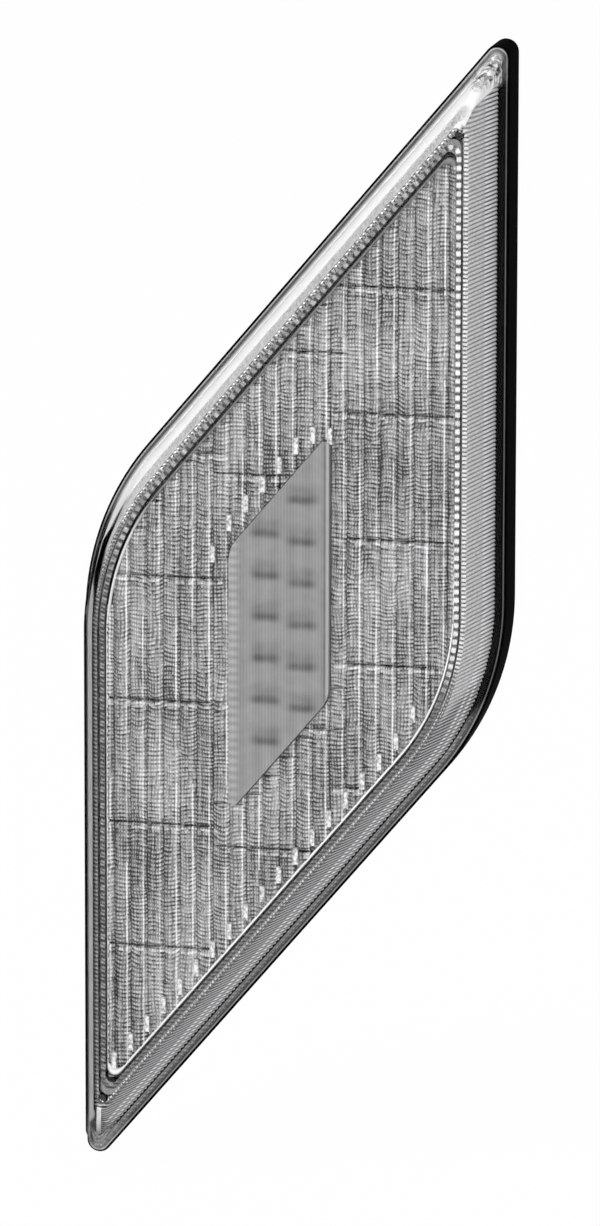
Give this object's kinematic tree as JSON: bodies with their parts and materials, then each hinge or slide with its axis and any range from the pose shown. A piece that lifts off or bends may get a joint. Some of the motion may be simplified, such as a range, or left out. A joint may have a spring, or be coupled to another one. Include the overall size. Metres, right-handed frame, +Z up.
{
  "type": "vehicle indicator lamp",
  "caption": "Tall slanted vehicle indicator lamp with a clear cover, ribbed bezel, fluted reflector and frosted window on a black tray housing.",
  "frame": {"origin": "middle of the mounting face, midway between the two threaded inserts", "axes": "+Z up along the upright sides as fitted on the vehicle, -Y out of the lamp's clear front, +X to the right when the front is looked at"},
  "size_m": [0.102, 0.0464, 0.273],
  "materials": {
    "housing_plastic": "fine moulded grain",
    "gasket_foam": "closed-cell foam",
    "insert_brass": "turned",
    "sealant": "smooth bead",
    "clear_plastic": "polished",
    "bright_bezel": "vacuum metallised",
    "bright_reflector": "vacuum metallised",
    "frosted_plastic": "fine frosted grid",
    "bright_cups": "vacuum metallised",
    "board_white": "white solder mask",
    "screw_steel": "zinc plated",
    "package_black": "moulded epoxy",
    "membrane_white": "expanded film",
    "cap_plastic": "moulded",
    "diode": "clear dome over phosphor",
    "resistor_film": "glazed",
    "tinned_blade": "tin plated"
  },
  "bodies": {
    "root": {"rear_housing": "housing_plastic", "mounting_gasket": "gasket_foam", "insert_upper": "insert_brass", "insert_lower": "insert_brass", "cover_seal": "sealant", "outer_cover": "clear_plastic", "bezel": "bright_bezel", "reflector": "bright_reflector", "window_diffuser": "frosted_plastic", "cup_block": "bright_cups", "circuit_board": "board_white", "board_screws": "screw_steel", "driver_chip": "package_black", "surge_diode": "package_black", "vent_membrane": "membrane_white", "vent_cap": "cap_plastic", "led_1": "diode", "led_2": "diode", "led_3": "diode", "led_4": "diode", "led_5": "diode", "led_6": "diode", "led_7": "diode", "led_8": "diode", "led_9": "diode", "led_10": "diode", "led_11": "diode", "led_12": "diode", "resistor_1": "resistor_film", "resistor_2": "resistor_film", "resistor_3": "resistor_film", "resistor_4": "resistor_film", "blade_1": "tinned_blade", "blade_2": "tinned_blade", "blade_3": "tinned_blade"}
  },
  "joints": []
}
